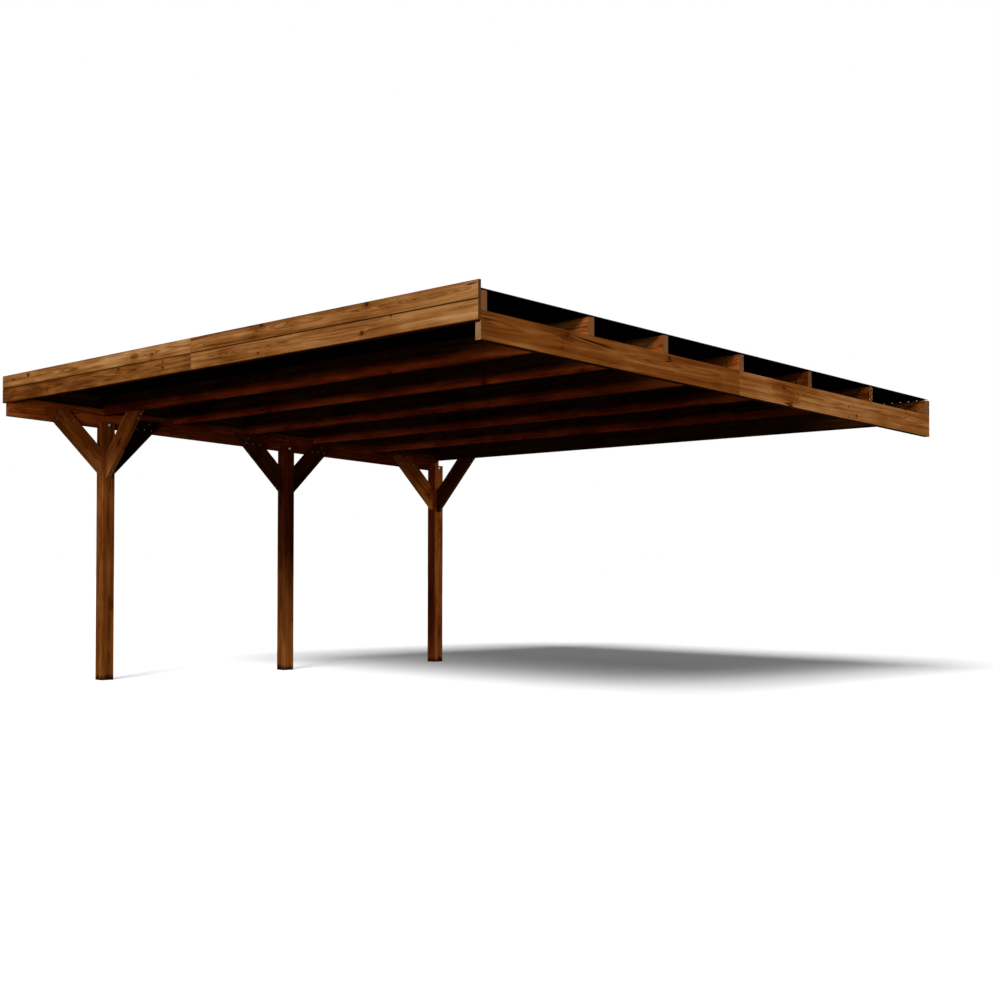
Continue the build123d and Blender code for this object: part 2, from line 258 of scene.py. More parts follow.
def make_grain_group():
    """Everything that the timber materials share. The piece's own properties place it."""
    outputs = [
        "Light", "Ring", "Fibre", "Core", "Rim", "Halo", "End", "Check", "Seam", "From foot", "Height",
    ]
    tree, graph, _ = new_group("sawn_timber", [], outputs)
    place = graph.vector("SUBTRACT", graph.node("ShaderNodeTexCoord").outputs["Object"], graph.own("middle"))
    grain, face = graph.own("grain"), graph.own("face")
    deep_axis = graph.vector("CROSS_PRODUCT", grain, face)
    along = graph.dot(place, grain)
    across = graph.dot(place, face)
    deep = graph.dot(place, deep_axis)
    half = graph.split(graph.own("half"))
    seed = graph.own("seed", "Fac")
    shift = graph.times(seed, 31.7)

    # the pith leans and wanders along the piece
    heart = graph.split(graph.own("heart"))
    lean = graph.split(graph.own("lean"))
    from_heart = graph.less(across, heart["X"])
    behind_heart = graph.less(deep, heart["Y"])
    slow = graph.combine(
        graph.add(graph.times(along, 0.9), shift),
        graph.times(across, 3.0),
        graph.times(deep, 3.0),
    )
    wander = graph.node("ShaderNodeTexNoise", {"Vector": slow, "Scale": 1.0, "Detail": 1.0}).outputs["Color"]
    wander = graph.split(graph.vector("SUBTRACT", wander, (0.5, 0.5, 0.5)))
    turned = graph.less(graph.add(from_heart, graph.times(wander["X"], 0.05)), graph.times(along, lean["X"]))
    sunk = graph.less(graph.add(behind_heart, graph.times(wander["Y"], 0.05)), graph.times(along, lean["Y"]))
    radius = graph.math("SQRT", graph.add(graph.times(turned, turned), graph.times(sunk, sunk)))

    # branches: one in each stretch of the log, a second one beside it, and a few placed ones
    fan = graph.split(graph.own("fan"))
    step = graph.math("DIVIDE", 1.0, fan["Z"])
    cells = graph.node(
        "ShaderNodeTexVoronoi",
        {"W": graph.add(along, shift), "Scale": step, "Randomness": 0.85},
        voronoi_dimensions="1D",
    )
    chance = graph.split(cells.outputs["Color"])
    apart = graph.less(graph.add(along, shift), cells.outputs["W"])
    angle = graph.add(fan["X"], graph.times(graph.less(chance["X"], 0.5), fan["Y"]))
    size = graph.add(0.003, graph.times(graph.math("POWER", chance["Y"], 2.0), 0.014))
    size = graph.times(size, graph.own("knotty", "Fac"))
    second = graph.add(angle, graph.times(fan["Y"], 0.41))
    knots = [
        branch(graph, apart, from_heart, behind_heart, angle, size),
        branch(graph, apart, from_heart, behind_heart, second, graph.times(size, 0.7)),
    ]
    for name in SPECIAL_KNOTS:
        own = graph.split(graph.own(name))
        away = graph.less(along, own["X"])
        knots.append(branch(graph, away, from_heart, behind_heart, own["Y"], own["Z"]))
    lift = graph.add(*[knot["Lift"] for knot in knots])
    core = graph.most(*[knot["Core"] for knot in knots])
    rim = graph.most(*[knot["Rim"] for knot in knots])
    halo = graph.most(*[knot["Halo"] for knot in knots])

    # growth rings: pale early wood that darkens into a thin band of late wood
    grown = graph.less(radius, lift)
    rate = graph.add(1.0, graph.times(graph.line_noise(graph.add(grown, shift), 45.0), 0.5))
    age = graph.times(graph.math("DIVIDE", grown, graph.own("ring", "Fac")), rate)
    saw = graph.math("FRACT", age)
    ring = graph.times(graph.between(saw, 0.25, 0.88), graph.between(saw, 1.0, 0.93))

    # streaks, blotches and fibres, all drawn out along the grain
    def drawn(along_scale, across_scale, detail):
        stretched = graph.combine(
            graph.add(graph.times(along, along_scale), shift),
            graph.times(graph.add(turned, shift), across_scale),
            graph.times(sunk, across_scale),
        )
        return graph.noise(stretched, 1.0, detail, 0.6)

    streak = drawn(1.6, 34.0, 4.0)
    blotch = drawn(2.2, 7.0, 2.0)
    fibre = drawn(16.0, 420.0, 2.0)
    light = graph.add(
        0.55,
        graph.times(streak, 1.15),
        graph.times(blotch, 0.95),
        graph.times(fibre, 0.28),
        graph.times(graph.math("MINIMUM", graph.times(lift, 55.0), 1.0), -0.22),
        # paler towards one end of the grain: stain on some boards, painted shade on the rafters and near
        # braces
        graph.times(graph.math("DIVIDE", along, half["X"]), graph.own("fade", "Fac")),
    )

    # drying checks: short dark lines along the grain, and a few placed splits
    contour = graph.math("ABSOLUTE", drawn(0.7, 15.0, 1.0))
    gate = graph.noise(graph.combine(graph.add(graph.times(along, 1.9), shift), across, deep), 1.0, 1.0)
    check = graph.times(graph.between(contour, 0.011, 0.004), graph.between(gate, 0.10, 0.16))
    for name in PLACED_SPLITS:
        own = graph.split(graph.own(name))
        away = graph.less(along, own["X"])
        middle_line = graph.add(own["Y"], graph.times(away, graph.own(name + "_slope", "Fac")))
        middle_line = graph.add(middle_line, graph.times(streak, 0.012))
        part = graph.math("DIVIDE", away, graph.times(own["Z"], 0.5))
        opened = graph.math("MAXIMUM", graph.less(1.0, graph.times(part, part)), 0.0)
        widest = graph.math("MINIMUM", graph.times(own["Z"], 0.06), 0.0052)
        off_line = graph.math("ABSOLUTE", graph.less(across, middle_line))
        inside = graph.less(graph.times(opened, widest), off_line)
        check = graph.most(check, graph.between(inside, -0.0004, 0.0004))

    # sawn ends, and the shaded lines where boards meet
    normal = graph.node("ShaderNodeNewGeometry").outputs["Normal"]
    facing = graph.math("ABSOLUTE", graph.dot(normal, grain))
    end = graph.between(facing, 0.6, 0.75)
    vee = graph.math("ABSOLUTE", graph.less(across, graph.own("vee", "Fac")))
    butt = graph.less(half["X"], graph.math("ABSOLUTE", along))
    not_end = graph.less(1.0, end)
    # painted shade: a dark line along the top edge of the upper fascia boards, where they meet the roof
    brink = graph.times(graph.between(graph.less(graph.own("brink", "Fac"), across), 0.006, 0.003), 0.7)
    seam = graph.most(graph.between(vee, 0.0062, 0.0040), graph.between(butt, 0.0024, 0.0008), brink)
    seam = graph.times(seam, not_end)

    height = graph.add(
        graph.times(ring, 0.35),
        graph.times(fibre, 0.6),
        graph.times(check, -3.0),
        graph.times(rim, -0.8),
        graph.times(core, 0.4),
    )
    height = graph.times(height, graph.add(1.0, graph.times(end, -0.85)))
    out = graph.node("NodeGroupOutput")
    from_foot = graph.add(along, half["X"])
    values = (light, ring, fibre, core, rim, halo, end, check, seam, from_foot, height)
    for name, value in zip(outputs, values):
        graph.feed(out.inputs[name], value)
    return tree


GRAIN_GROUP = make_grain_group()


def make_timber(name, shades, end_shades, ring_depth=0.32, wet_foot=0.0):
    """Stained softwood. shades run from the darkest to the palest; wet_foot is the dark foot's height."""
    material, graph = new_material(name)
    grain = graph.node("ShaderNodeGroup", node_tree=GRAIN_GROUP).outputs
    # tone: the board's stain, and painted light and shade on some rafters and braces
    tone = graph.own("tone", "Fac")
    figure = graph.own("figure", "Fac")
    light = graph.add(grain["Light"], tone, graph.times(grain["Ring"], figure, -ring_depth))
    last = len(shades) - 1
    colour = graph.ramp(light, [(i / last, shade) for i, shade in enumerate(shades)])
    end_light = graph.add(0.52, graph.times(grain["Ring"], -0.25), graph.times(grain["Fibre"], 0.25), tone)
    end_colour = graph.ramp(end_light, [(0.0, end_shades[0]), (1.0, end_shades[1])])
    colour = graph.mix(grain["End"], colour, end_colour)
    core_light = graph.add(0.5, graph.times(grain["Ring"], 0.5), graph.times(grain["Fibre"], 0.8))
    core = graph.mix(graph.clamp(core_light), (*KNOT, 1.0), (*KNOT_RINGS, 1.0))
    colour = graph.mix(graph.times(grain["Halo"], 0.55), colour, (*HALO, 1.0))
    colour = graph.mix(graph.times(grain["Core"], 0.85), colour, core)
    colour = graph.mix(graph.times(grain["Rim"], 0.6), colour, (*RIM, 1.0))
    colour = graph.mix(graph.times(grain["Check"], 0.9), colour, (0.006, 0.002, 0.001, 1.0))
    colour = graph.mix(graph.times(grain["Seam"], 0.70), colour, (0.008, 0.003, 0.001, 1.0))
    if wet_foot:
        ragged = graph.add(grain["From foot"], graph.times(graph.less(grain["Light"], 0.5), 0.09))
        wet = graph.times(graph.between(ragged, wet_foot, wet_foot * 0.3), graph.own("on ground", "Fac"))
        colour = graph.mix(graph.times(wet, 0.94), colour, (0.009, 0.004, 0.002, 1.0))
    rough = graph.add(
        0.66,
        graph.times(grain["Ring"], -0.08),
        graph.times(grain["Fibre"], 0.25),
        graph.times(grain["End"], 0.15),
    )
    bump = graph.node("ShaderNodeBump", {"Strength": 0.55, "Distance": 0.0008, "Height": grain["Height"]})
    finish_material(
        graph,
        {
            "Base Color": colour,
            "Roughness": rough,
            "Specular IOR Level": 0.0,
            "Normal": bump.outputs[0],
        },
    )
    return material


# stains, each from its darkest shade to its palest
HONEY = [
    (0.095, 0.025, 0.004),
    (0.200, 0.066, 0.012),
    (0.315, 0.125, 0.033),
    (0.430, 0.208, 0.070),
    (0.560, 0.310, 0.135),
]
BEAM = [
    (0.055, 0.014, 0.002),
    (0.105, 0.028, 0.004),
    (0.160, 0.048, 0.008),
    (0.225, 0.085, 0.020),
    (0.320, 0.145, 0.050),
]
POST = [
    (0.045, 0.011, 0.002),
    (0.095, 0.026, 0.004),
    (0.150, 0.047, 0.008),
    (0.210, 0.078, 0.017),
    (0.290, 0.125, 0.040),
]
RAFTER = [
    (0.040, 0.009, 0.001),
    (0.095, 0.024, 0.003),
    (0.165, 0.046, 0.008),
    (0.235, 0.082, 0.018),
    (0.320, 0.135, 0.042),
]
SAWN_ENDS = [(0.055, 0.020, 0.006), (0.210, 0.092, 0.036)]
PALE_ENDS = [(0.140, 0.062, 0.022), (0.520, 0.290, 0.135)]
BROWN_ENDS = [(0.040, 0.012, 0.003), (0.130, 0.050, 0.015)]
KNOT, KNOT_RINGS = (0.085, 0.022, 0.005), (0.038, 0.010, 0.002)
HALO = (0.120, 0.026, 0.004)
RIM = (0.018, 0.005, 0.002)


class Mark:
    """Where a board's face shows a knot or a split, from the start of its grain and from its middle line.

    A knot's size is its radius, and negative where it is grown over. A split's size is its length, and slope
    is how fast it leaves the grain.
    """

    def __init__(self, start, off, size, slope=-0.06):
        self.start, self.off, self.size, self.slope = start, off, size, slope


def lay_grain(name, grain, face, heart, fan, shown=1, spacing=0.55, joint=None, knotty=1.0):
    """Tells a timber where its grain runs.

    face points across the board, to its upper edge where it has one. heart is the pith, across and deep from
    the middle. fan is the angle at which branches leave the pith and how far they spread. shown is the side
    that KNOTS lie on. joint says whether the next board's joint line is near the upper or the lower edge.
    """
    node = NODES[name]
    chance = random.Random(name)
    axes = (grain.normalized(), face.normalized(), grain.normalized().cross(face.normalized()))
    middle, half = Vector(), []
    for axis in axes:
        reach = [vertex.co.dot(axis) for vertex in node.data.vertices]
        middle += axis * (min(reach) + max(reach)) / 2
        half.append((max(reach) - min(reach)) / 2)
    heart = HEARTS.get(name, heart)
    node["middle"] = list(middle)
    node["grain"] = list(axes[0])
    node["face"] = list(axes[1])
    node["half"] = half
    node["seed"] = chance.uniform(0.1, 9.0)
    node["heart"] = [heart[0], heart[1], 0.0]
    node["lean"] = [chance.uniform(-0.006, 0.006), chance.uniform(-0.012, 0.012), 0.0]
    node["fan"] = [fan[0], fan[1], spacing * chance.uniform(0.85, 1.2)]
    node["ring"] = RING_WIDTHS.get(name, chance.uniform(0.0032, 0.0050))
    # tone and fade hold each board's stain, and on the rafters and braces also painted light and shade
    node["tone"] = TONES_AND_PAINTED_LIGHT.get(name, 0.0) + chance.uniform(-0.04, 0.04)
    node["fade"] = FADES_AND_PAINTED_SHADE.get(name, 0.0)
    node["vee"] = {"upper": half[1] - TONGUE, "lower": -half[1]}.get(joint, NOWHERE)
    node["brink"] = half[1] if joint == "lower" else NOWHERE
    node["figure"] = FIGURES.get(name, 1.0)
    node["knotty"] = KNOTTY.get(name, knotty)
    node["on ground"] = float(name.startswith("post_"))
    nowhere = [Mark(NOWHERE, 0.0, 0.001)] * 3
    for key, split in zip(PLACED_SPLITS, SPLITS.get(name, []) + nowhere):
        node[key] = [split.start - half[0], split.off, split.size]
        node[key + "_slope"] = split.slope
    surface = shown * half[2] - heart[1]
    for key, knot in zip(SPECIAL_KNOTS, KNOTS.get(name, []) + nowhere):
        angle = math.atan2(surface, knot.off - heart[0])
        node[key] = [knot.start - half[0], angle, knot.size]


BEHIND = math.pi / 2      # a branch that runs straight out from the pith to the face
ALL_ROUND = 2 * math.pi
TONGUE = 0.006            # stands above the joint on a lower fascia board

# boards that differ from their neighbours: in stain on the fascias and wall beams. On the rafters and the
# middle and near downhill braces the darker tone is painted shade; on the near cross brace and uphill brace
# the paler one is painted light.
TONES_AND_PAINTED_LIGHT = {
    "near_fascia_lower_post": -0.30,
    "near_fascia_upper_post": 0.10,
    "near_fascia_upper_wall": -0.05,
    "wall_beam_near": -0.02,
    "wall_beam_far": 0.30,
    "rafter_4": -0.06,
    "rafter_5": -0.08,
    "rafter_6": -0.13,
    "brace_middle_downhill": -0.10,
    "brace_near_downhill": -0.25,
    "cross_brace_near": 0.22,
    "brace_near_uphill": 0.08,
}
# how much paler a board is where its grain ends than at its middle. On the fascias and the purlin this is
# stain; on the rafters and the near braces it is painted shade, light that falls off along them.
FADES_AND_PAINTED_SHADE = {
    "near_fascia_lower_post": -0.08,
    "near_fascia_lower_wall": -0.09,
    "near_fascia_upper_post": -0.15,
    "near_fascia_upper_wall": -0.09,
    "purlin_near": -0.06,
    "rafter_2": -0.15,
    "rafter_3": -0.15,
    "rafter_5": 0.26,
    "rafter_6": 0.32,
    "brace_near_uphill": -0.24,
    "cross_brace_near": -0.22,
}
HEARTS = {
    "near_fascia_upper_post": (0.005, 0.030),
    "wall_beam_far": (0.020, -0.030),
}
KNOTS = {
    "near_fascia_upper_post": [Mark(2.58, 0.024, 0.012), Mark(0.80, 0.0, -0.015), Mark(0.55, -0.020, -0.013)],
    "near_fascia_lower_post": [Mark(2.23, -0.028, 0.005), Mark(1.05, 0.042, 0.008)],
    "near_fascia_upper_wall": [Mark(2.20, 0.050, 0.012), Mark(1.04, 0.040, 0.012)],
    "near_fascia_lower_wall": [Mark(2.24, -0.030, 0.006), Mark(1.09, -0.023, 0.010)],
    "wall_beam_near": [Mark(0.74, 0.058, 0.014), Mark(1.735, 0.060, 0.011), Mark(0.70, -0.030, 0.007)],
    "wall_beam_far": [Mark(0.50, 0.020, -0.026), Mark(0.66, -0.030, -0.020), Mark(1.50, -0.050, 0.006)],
}
SPLITS = {
    "near_fascia_upper_wall": [Mark(0.06, 0.035, 0.12)],
    "near_fascia_upper_post": [Mark(2.86, 0.010, 0.10)],
    "wall_beam_near": [
        Mark(1.00, 0.047, 0.44),
        Mark(1.735, 0.054, 0.055, slope=-1.3),
        Mark(1.720, 0.036, 0.070, slope=0.15),
    ],
    "side_fascia_lower_far": [Mark(0.40, 0.010, 0.25)],
    "rafter_6": [Mark(1.20, -0.020, 0.30)],
}
RING_WIDTHS = {"wall_beam_far": 0.0105, "wall_beam_near": 0.0080, "near_fascia_upper_post": 0.0085}
FIGURES = {"wall_beam_far": 1.25, "near_fascia_upper_post": 1.3}
KNOTTY = {"wall_beam_far": 0.35, "wall_beam_near": 0.45}


def lay_all_grain():
    for name in named("post_"):
        lay_grain(name, Z, X, (0.012, -0.009), (0.0, ALL_ROUND), spacing=0.42)
    for name in named("brace_"):
        way = X if name.endswith("downhill") else -X
        lay_grain(name, way + Z, way - Z, (0.02, -0.06), (BEHIND, 1.9), spacing=0.4)
    for name in named("cross_brace_"):
        lay_grain(name, Z - Y, Z + Y, (0.02, -0.06), (BEHIND, 1.9), spacing=0.4)
    for name in named("purlin_", "wall_beam_"):
        lay_grain(name, FALL, FALL.cross(Y), (0.02, -0.07), (BEHIND, 2.0))
    for name in RAFTERS:
        lay_grain(name, Y, Z, (0.025, 0.07), (-BEHIND, 2.0), shown=-1)
    for name in named("near_fascia_", "far_fascia_", "side_fascia_"):
        joint = "upper" if "lower" in name else "lower"
        grain, face, knotty = (FALL, FALL.cross(Y), 0.6) if "side" in name else (Y, Z, 0.5)
        lay_grain(name, grain, face, (0.01, 0.05), (-BEHIND, 1.8), shown=-1, joint=joint, knotty=knotty)


# --- roof sheets ---
def make_sheet_material():
    material, graph = new_material("black_sheet")
    place = graph.node("ShaderNodeTexCoord").outputs["Object"]
    fine = graph.noise(place, 260.0, 3.0, 0.7)
    broad = graph.noise(graph.vector("MULTIPLY", place, (0.5, 2.0, 2.0)), 1.4, 3.0)
    # faces that look up get the dusty top colours; the underside keeps a darker near-black, painted shade
    # under the roof
    dusty_top_and_shaded_underside = graph.between(graph.split(graph.node("ShaderNodeNewGeometry").outputs["Normal"])["Z"], 0.0, 0.5)
    dust = graph.clamp(graph.add(graph.times(broad, 1.2), graph.times(fine, 0.5), 0.25))
    top = graph.mix(dust, (0.014, 0.014, 0.015, 1), (0.044, 0.043, 0.041, 1))
    colour = graph.mix(dusty_top_and_shaded_underside, (0.005, 0.005, 0.005, 1), top)
    rough = graph.add(0.70, graph.times(fine, 0.2), graph.times(broad, 0.2))
    bump = graph.node("ShaderNodeBump", {"Strength": 0.35, "Distance": 0.0006, "Height": fine})
    finish_material(
        graph,
        {"Base Color": colour, "Roughness": rough, "Specular IOR Level": 0.0, "Normal": bump.outputs[0]},
    )
    return material


# --- fixings ---
def make_steel(name, dull, bright):
    """Plated steel with a faint spangle and duller patches."""
    material, graph = new_material(name)
    place = graph.node("ShaderNodeTexCoord").outputs["Object"]
    patch = graph.noise(place, 90.0, 3.0, 0.6)
    grit = graph.noise(place, 1500.0, 2.0, 0.7)
    shade = graph.clamp(graph.add(0.5, graph.times(patch, 1.4), graph.times(grit, 0.5)))
    colour = graph.mix(shade, (*dull, 1.0), (*bright, 1.0))
    rough = graph.add(0.34, graph.times(patch, 0.3), graph.times(grit, 0.1))
    bump = graph.node("ShaderNodeBump", {"Strength": 0.3, "Distance": 0.0003, "Height": grit})
    finish_material(
        graph, {"Base Color": colour, "Metallic": 1.0, "Roughness": rough, "Normal": bump.outputs[0]}
    )
    return material


class Turned:
    """Turned parts gathered into one piece. A profile is (radius, height) pairs, outside first."""

    def __init__(self):
        self.mesh = bmesh.new()

    def turn(self, profile, place, axis, sides=24, star=0.0, bend=None, spin=0.0):
        """Turns a profile about an axis. Rings inside the radius star have a screw head's star shape."""
        lean = Vector(axis).to_track_quat("Z", "Y").to_matrix()
        rings = []
        for radius, height in profile:
            ring = []
            for i in range(sides if radius else 1):
                angle = spin + ALL_ROUND * i / sides
                wide = radius
                if radius < star:
                    wide *= 1 + STAR_DEPTH * math.cos(STAR_POINTS * angle)
                across = Vector((wide * math.cos(angle), wide * math.sin(angle), height))
                point = Vector(place) + lean @ across
                if bend:
                    point = bend(point, height)
                ring.append(self.mesh.verts.new(point))
            rings.append(ring)
        for low, high in zip(rings, rings[1:]):
            for i in range(sides):
                here, ahead = i, i + 1
                corners = [low[here % len(low)], low[ahead % len(low)]]
                corners += [high[ahead % len(high)], high[here % len(high)]]
                self.mesh.faces.new(list(dict.fromkeys(corners)))

    def place_as(self, name, material):
        return place_piece(self.mesh, name, material)


def place_piece(shape, name, material):
    mesh = bpy.data.meshes.new(name)
    bmesh.ops.recalc_face_normals(shape, faces=shape.faces)
    shape.to_mesh(mesh)
    shape.free()
    mesh.shade_smooth()
    mesh.set_sharp_from_angle(angle=math.radians(32))
    mesh.materials.append(material)
    piece = bpy.data.objects.new(name, mesh)
    scene.collection.objects.link(piece)
    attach(piece, "root")
    return piece


# (radius, height) in metres, height from the surface that the part sits on
WASHER = [(0.0, 0.0), (0.0107, 0.0), (0.0112, 0.0004), (0.0112, 0.0014), (0.0107, 0.0018), (0.0, 0.0018)]
NUT = [(0.0, 0.0), (0.0070, 0.0), (0.0076, 0.0007), (0.0076, 0.0060), (0.0066, 0.0068), (0.0, 0.0068)]
BOLT_TIP = [(0.0, 0.0), (0.0040, 0.0), (0.0040, 0.0040), (0.0032, 0.0048), (0.0, 0.0051)]
DOME = [
    (0.0, 0.0),
    (0.0124, 0.0),
    (0.0128, 0.0007),
    (0.0117, 0.0029),
    (0.0090, 0.0048),
    (0.0050, 0.0060),
    (0.0, 0.0064),
]
SCREW = [
    (0.0, 0.0),
    (0.0051, 0.0),
    (0.0053, 0.0003),
    (0.0048, 0.0010),
    (0.0037, 0.0016),
    (0.0025, 0.0018),
    (0.0022, 0.0015),
    (0.0020, 0.0005),
    (0.0, 0.0005),
]
STAR = 0.0027             # radius of the star-shaped hollow in a screw head
STAR_POINTS = 6
STAR_DEPTH = 0.16
CAP = [
    (0.0, 0.0),
    (0.0125, 0.0),
    (0.0130, 0.0006),
    (0.0124, 0.0016),
    (0.0096, 0.0022),
    (0.0088, 0.0036),
    (0.0080, 0.0058),
    (0.0058, 0.0073),
    (0.0028, 0.0079),
    (0.0, 0.0080),
]
SKIRT = CAP[3][1]         # rings of a cap up to this height follow the crest
SKIRT_DROP = 0.0045       # the most that they bend down
CAP_SUNK = 0.0002
BOLT_DROP = 0.025         # tongue bolt, below the top of the post's tongue
ROW_RISE = 0.028          # row of three screws in a brace's head, above the beam's lower edge
ROW_PITCH = 0.078
TOP_RISE = 0.082          # single screw over that row
FOOT_STEPS = (0.042, 0.094)    # screws along a brace's underside, from its end
SCREW_PASSES = 3          # rounds that bring a row of screws to the brace's middle line under a sloping beam


def beam_under(x):
    """Height of the lower edge of the purlin and of the wall beam."""
    low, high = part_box("wall_beam_near")
    return low.z + SLOPE * (high.x - x)


BEAM_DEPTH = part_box("wall_beam_near")[1].z - beam_under(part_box("wall_beam_near")[0].x)


def add_tongue_bolts(metal):
    """Coach bolts: domed heads on the purlin's outer face, washers and nuts on the posts' tongues."""
    parts = Turned()
    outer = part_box("purlin_near")[1].y
    for number, name in enumerate(named("post_")):
        low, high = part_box(name)
        spot = Vector((centre(name).x, low.y, high.z - BOLT_DROP))
        parts.turn(WASHER, spot, -Y)
        parts.turn(NUT, spot - Y * WASHER[-1][1], -Y, sides=6, spin=0.3 * number)
        parts.turn(BOLT_TIP, spot - Y * (WASHER[-1][1] + NUT[-1][1]), -Y)
        parts.turn(DOME, Vector((spot.x, outer, spot.z)), Y, sides=32)
    return parts.place_as("tongue_bolts", metal)


def add_long_brace_screws(metal):
    """Screws through each brace's head into its beam, along the brace's middle line, and in its foot."""
    parts = Turned()
    half_width = BEAM_DEPTH * math.sqrt(2) / 2    # a brace is as deep as the beam, measured here upright
    for name in named("brace_"):
        low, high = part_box(name)
        way = 1 if name.endswith("downhill") else -1
        face = low.x if way > 0 else high.x
        foot = Vector((face, centre(name).y, low.z))
        for rise, offsets in ((ROW_RISE, (-ROW_PITCH, 0.0, ROW_PITCH)), (TOP_RISE, (0.0,))):
            for offset in offsets:
                run = BEAM_DEPTH - half_width
                for _ in range(SCREW_PASSES):
                    x = face + way * run + offset
                    run = beam_under(x) + rise - low.z - half_width
                x = face + way * run + offset
                parts.turn(SCREW, (x, low.y, beam_under(x) + rise), -Y, star=STAR)
        for step in FOOT_STEPS:
            spot = foot + Vector((way, 0, 1)).normalized() * step
            parts.turn(SCREW, spot, (way, 0, -1), star=STAR)
    return parts.place_as("brace_screws", metal)


def add_cross_brace_screws(metal):
    parts = Turned()
    for name in named("cross_brace_"):
        low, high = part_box(name)
        foot = Vector((centre(name).x, high.y, low.z))
        climb = Vector((0, -1, 1)).normalized()
        length = (high.z - low.z) * math.sqrt(2)
        for step in FOOT_STEPS + tuple(length - step for step in FOOT_STEPS):
            parts.turn(SCREW, foot + climb * step, (0, -1, -1), star=STAR)
    return parts.place_as("cross_brace_screws", metal)


SCAN_STEP = 0.002         # spacing of the heights read across the sheets
CREST_REACH = 6           # a crest is the highest of this many steps to each side
CREST_GAP = 20            # fewest steps from one crest to the next


def add_roof_caps(material):
    """Black capped screws through the sheets' crests, over every rafter."""
    corners, faces = [], []
    for name in SHEETS:
        mesh = NODES[name].data
        start = len(corners)
        corners += [vertex.co.copy() for vertex in mesh.vertices]
        faces += [[start + i for i in polygon.vertices] for polygon in mesh.polygons]
    roof = BVHTree.FromPolygons(corners, faces)
    low = Vector([min(corner[i] for corner in corners) for i in range(3)])
    high = Vector([max(corner[i] for corner in corners) for i in range(3)])

    def top(x, y):
        hit = roof.ray_cast(Vector((x, y, high.z + 1.0)), -Z)[0]
        return hit.z if hit else low.z

    count = int((high.y - low.y) / SCAN_STEP)
    rows = [low.y + SCAN_STEP * i for i in range(count)]
    probe = centre(RAFTERS[2]).x
    levels = [top(probe, y) for y in rows]
    crests = []
    for i in range(CREST_REACH, count - CREST_REACH):
        highest = levels[i] == max(levels[i - CREST_REACH:i + CREST_REACH + 1])
        if highest and (not crests or rows[i] - crests[-1] > CREST_GAP * SCAN_STEP):
            crests.append(rows[i])
    pieces = []
    for number, name in enumerate(RAFTERS, start=1):
        parts = Turned()
        x = centre(name).x
        every = 2 if name in (FIRST, LAST) else 3
        for y in crests[2 + number % 2::every]:
            crown = top(x, y)

            def saddle(point, height, y=y, crown=crown):
                """Lets the cap's skirt follow the crest."""
                if height > SKIRT:
                    return point
                fall = crown - SLOPE * (point.x - x) - top(point.x, point.y)
                return point - Z * min(max(fall, 0.0), SKIRT_DROP)

            parts.turn(CAP, (x, y, crown - CAP_SUNK), FALL.cross(Y), sides=20, bend=saddle)
        pieces.append(parts.place_as(f"roof_caps_{number}", material))
    return pieces


def add_edge_seal(material):
    """Black sealing strip that closes the joint between the last sheet and the side fascia.

    Its section is (y, height above the rafters' top), and it stops a little short of the sheet's ends.
    """
    low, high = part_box(SHEETS[-1])
    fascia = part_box(named("side_fascia_upper")[0])[0].y
    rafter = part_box(LAST)
    top = rafter[1].z
    under, lip = 0.001, 0.014
    section = [
        (high.y, under),
        (fascia, under),
        (fascia, lip),
        (fascia - 0.002, lip + 0.002),
        (high.y, lip + 0.0005),
    ]
    parts = bmesh.new()
    rings = []
    for x in (low.x + 0.004, high.x - 0.012):
        z = top + SLOPE * (rafter[0].x - x)
        rings.append([parts.verts.new((x, y, z + rise)) for y, rise in section])
    for i in range(len(rings[0])):
        ahead = (i + 1) % len(rings[0])
        parts.faces.new((rings[0][i], rings[0][ahead], rings[1][ahead], rings[1][i]))
    for ring in rings:
        parts.faces.new(ring)
    return place_piece(parts, "edge_seal", material)


def make_cap_material():
    material, graph = new_material("black_caps")
    place = graph.node("ShaderNodeTexCoord").outputs["Object"]
    grain = graph.noise(place, 900.0, 2.0, 0.6)
    dust = graph.clamp(graph.add(0.4, graph.times(graph.noise(place, 25.0, 3.0), 1.5)))
    colour = graph.mix(dust, (0.008, 0.008, 0.009, 1), (0.024, 0.023, 0.022, 1))
    rough = graph.add(0.5, graph.times(grain, 0.3))
    bump = graph.node("ShaderNodeBump", {"Strength": 0.3, "Distance": 0.0003, "Height": grain})
    finish_material(
        graph,
        {"Base Color": colour, "Roughness": rough, "Specular IOR Level": 0.04, "Normal": bump.outputs[0]},
    )
    return material


# --- stage: camera, floor, backdrop and lights ---
STANDPOINT = (-8.4635, -6.3034, -1.3164)    # low, outside the corner of the open side and the high end
HEADING = -43.976         # degrees from Y, towards X
TILT = 1.032              # degrees above level
ROLL = 0.103
LENS, SENSOR = 53.196, 36.0    # millimetres
RISE = 0.0433             # of the frame's width


def make_camera():
    camera = bpy.data.cameras.new("camera")
    camera.sensor_width = SENSOR
    camera.lens = LENS
    camera.shift_y = RISE
    camera.clip_start = 0.1
    camera.clip_end = 500.0
    eye = bpy.data.objects.new("camera", camera)
    turn = Matrix.Rotation(math.radians(HEADING), 4, "Z")
    tip = Matrix.Rotation(math.radians(90 + TILT), 4, "X")
    roll = Matrix.Rotation(math.radians(ROLL), 4, "Z")
    eye.matrix_world = Matrix.Translation(STANDPOINT) @ turn @ tip @ roll
    scene.collection.objects.link(eye)
    scene.camera = eye


def background_ray(graph):
    """1 for a ray that shows the background, and 0 for one that carries its light to the carport."""
    path = graph.node("ShaderNodeLightPath").outputs
    seen = graph.math("MAXIMUM", path["Is Camera Ray"], path["Is Glossy Ray"])
    return graph.math("MAXIMUM", seen, path["Is Transmission Ray"])


